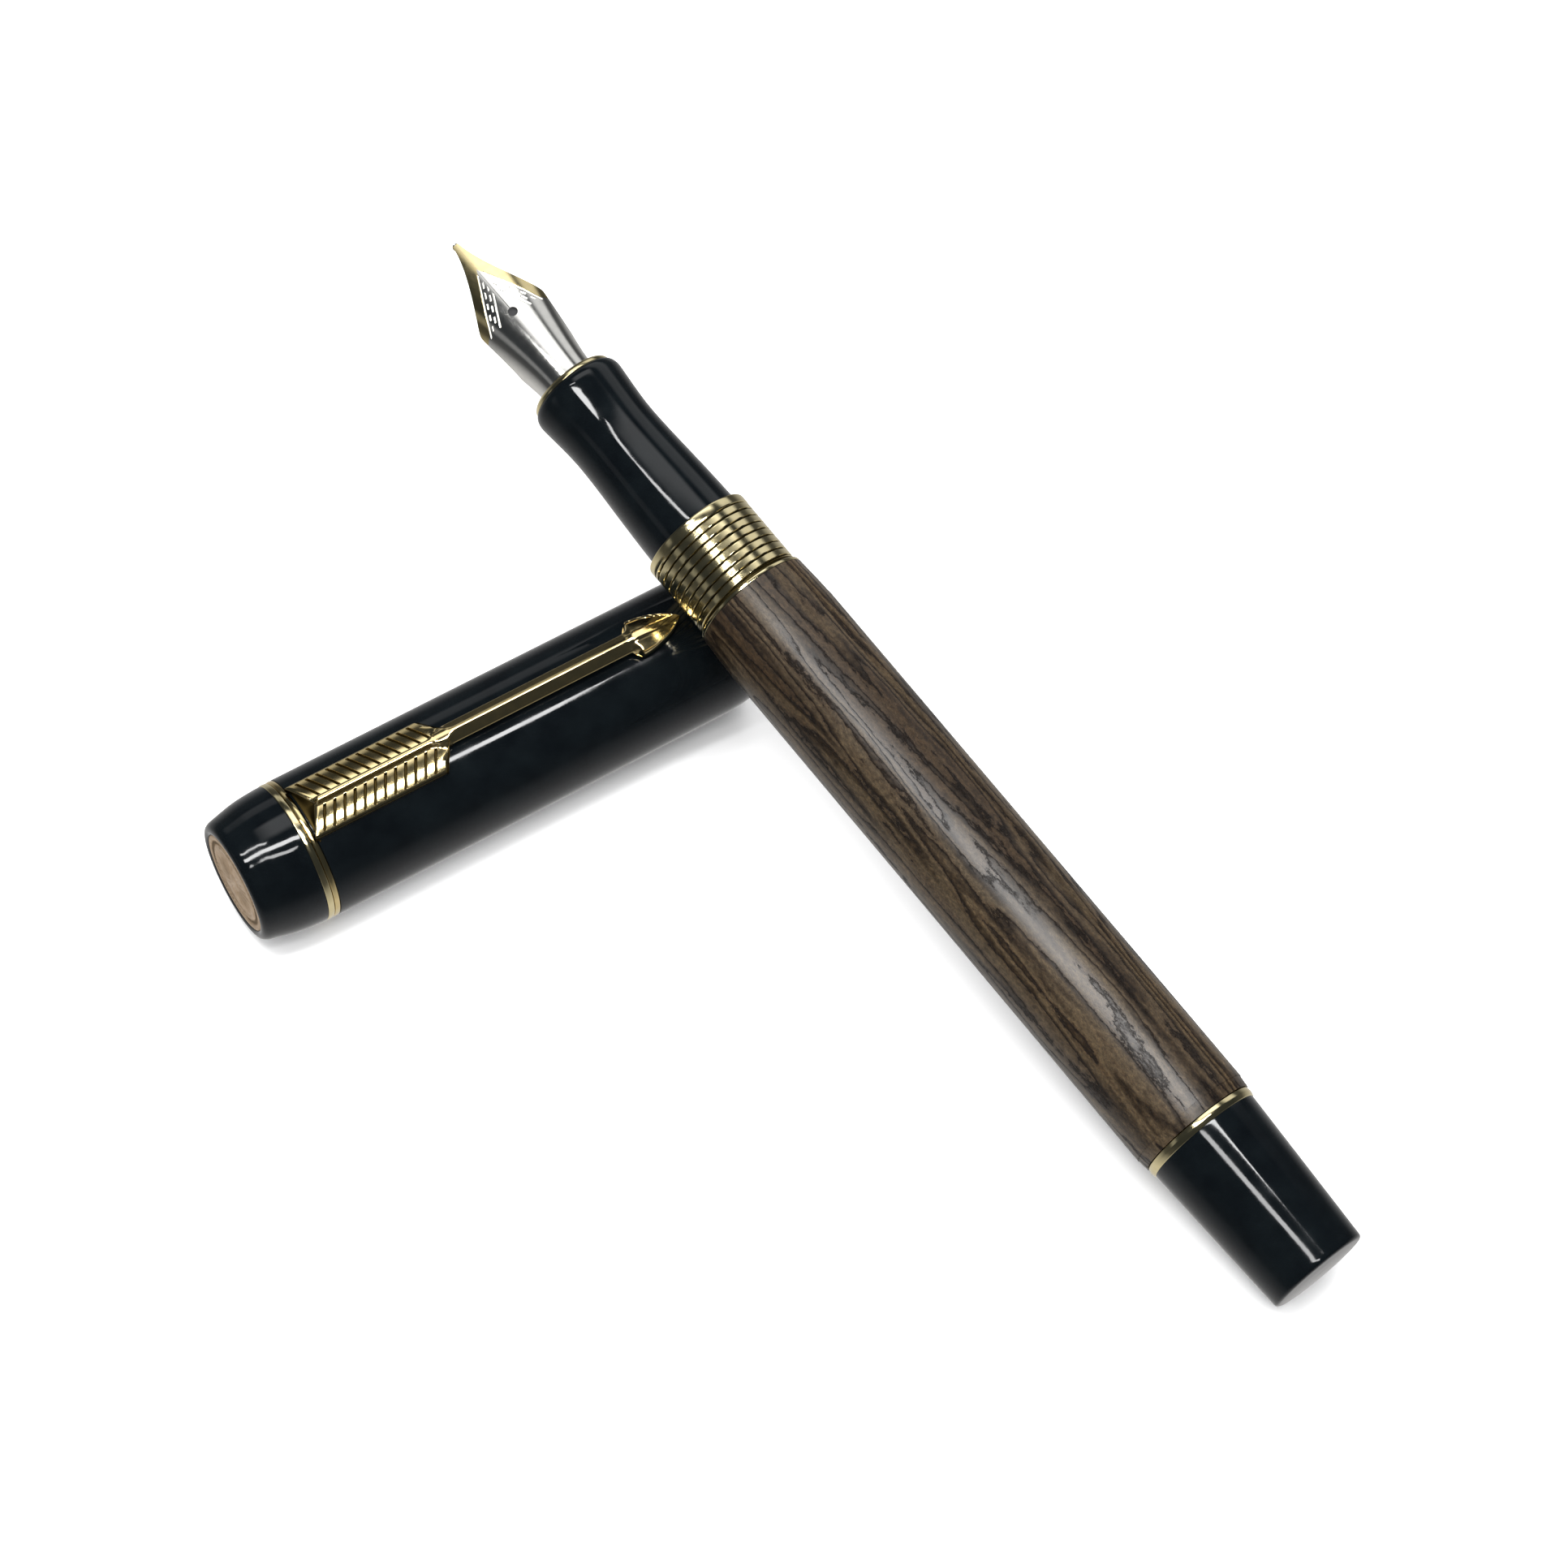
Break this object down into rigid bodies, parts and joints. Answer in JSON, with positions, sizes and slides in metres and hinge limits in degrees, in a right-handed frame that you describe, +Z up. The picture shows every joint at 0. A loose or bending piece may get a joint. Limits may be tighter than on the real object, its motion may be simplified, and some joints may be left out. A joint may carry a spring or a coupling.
{
  "type": "fountain pen",
  "caption": "Uncapped fountain pen with a wooden barrel, black grip and two-tone nib, resting on its cap; unscrews to reach the piston converter.",
  "frame": {"origin": "middle of the underside of the whole object, on the surface it lies on", "axes": "+Z up; +X along the cap from its crown to its open mouth; the pen lies mostly along +Y, tail to nib, its nib end raised"},
  "size_m": [0.072, 0.1288, 0.0286],
  "materials": {
    "black_resin": "polished black resin",
    "gold_trim": "polished gold plate",
    "medallion_gold": "struck antique gold",
    "nib_metal": "two-tone polished nib, silver centre and gold edges",
    "tipping_metal": "hard polished ball",
    "dark_wood": "satin oiled dark hardwood",
    "feed_plastic": "matte black",
    "inner_plastic": "moulded black",
    "clear_plastic": "clear moulded",
    "liner_brass": "drawn tube",
    "steel": "turned steel",
    "seal_rubber": "moulded"
  },
  "bodies": {
    "cap": {"cap_shell": "black_resin", "crown": "black_resin", "medallion": "medallion_gold", "finial_screw": "steel", "crown_ring": "gold_trim", "clip_ring": "gold_trim", "inner_cap": "inner_plastic", "cap_thread_ring": "liner_brass"},
    "clip": {"clip_arm": "gold_trim"},
    "barrel": {"end_cap": "black_resin", "tail_ring": "gold_trim", "barrel_plug": "liner_brass", "tail_screw": "steel", "barrel_sleeve": "dark_wood", "barrel_liner": "liner_brass", "barrel_thread_insert": "liner_brass", "barrel_lip_ring": "gold_trim"},
    "section": {"cap_thread_collar": "gold_trim", "section_connector": "liner_brass", "section_o_ring": "seal_rubber", "grip_section": "black_resin", "section_trim_ring": "gold_trim", "nib_housing": "inner_plastic"},
    "nib_unit": {"nib": "nib_metal", "nib_tipping": "tipping_metal", "feed": "feed_plastic"},
    "converter": {"converter_tube": "clear_plastic", "converter_band": "gold_trim"},
    "knob": {"converter_knob": "feed_plastic"},
    "piston": {"piston_rod": "steel", "piston_head": "inner_plastic", "piston_seals": "seal_rubber"}
  },
  "joints": [
    {"name": "pen_lift", "type": "slide", "parent": "cap", "child": "barrel", "axis": [0, 0, 1], "range_m": [0, 0.06]},
    {"name": "clip_flex", "type": "hinge", "parent": "cap", "child": "clip", "pos_m": [-0.02765, 0.02299, 0.01454], "axis": [0, -0.9986, -0.0523], "range_deg": [0, 2], "stiffness_Nm_per_rad": 0.5},
    {"name": "section_pull", "type": "slide", "parent": "barrel", "child": "section", "axis": [-0.1377, 0.976, 0.1685], "range_m": [0, 0.07]},
    {"name": "nib_pull", "type": "slide", "parent": "section", "child": "nib_unit", "axis": [-0.1377, 0.976, 0.1685], "range_m": [0, 0.016]},
    {"name": "converter_pull", "type": "slide", "parent": "section", "child": "converter", "axis": [0.1377, -0.976, -0.1685], "range_m": [0, 0.0052]},
    {"name": "converter_knob_turn", "type": "hinge", "parent": "converter", "child": "knob", "pos_m": [0.02579, -0.02719, 0.01127], "axis": [-0.1377, 0.976, 0.1685], "range_deg": [0, 1800]},
    {"name": "piston_travel", "type": "slide", "parent": "converter", "child": "piston", "axis": [-0.1377, 0.976, 0.1685], "range_m": [0, 0.018]}
  ],
  "couplings": [
    {"joint": "converter_knob_turn", "follows": "piston_travel", "rad_per_m": 1745.2}
  ]
}
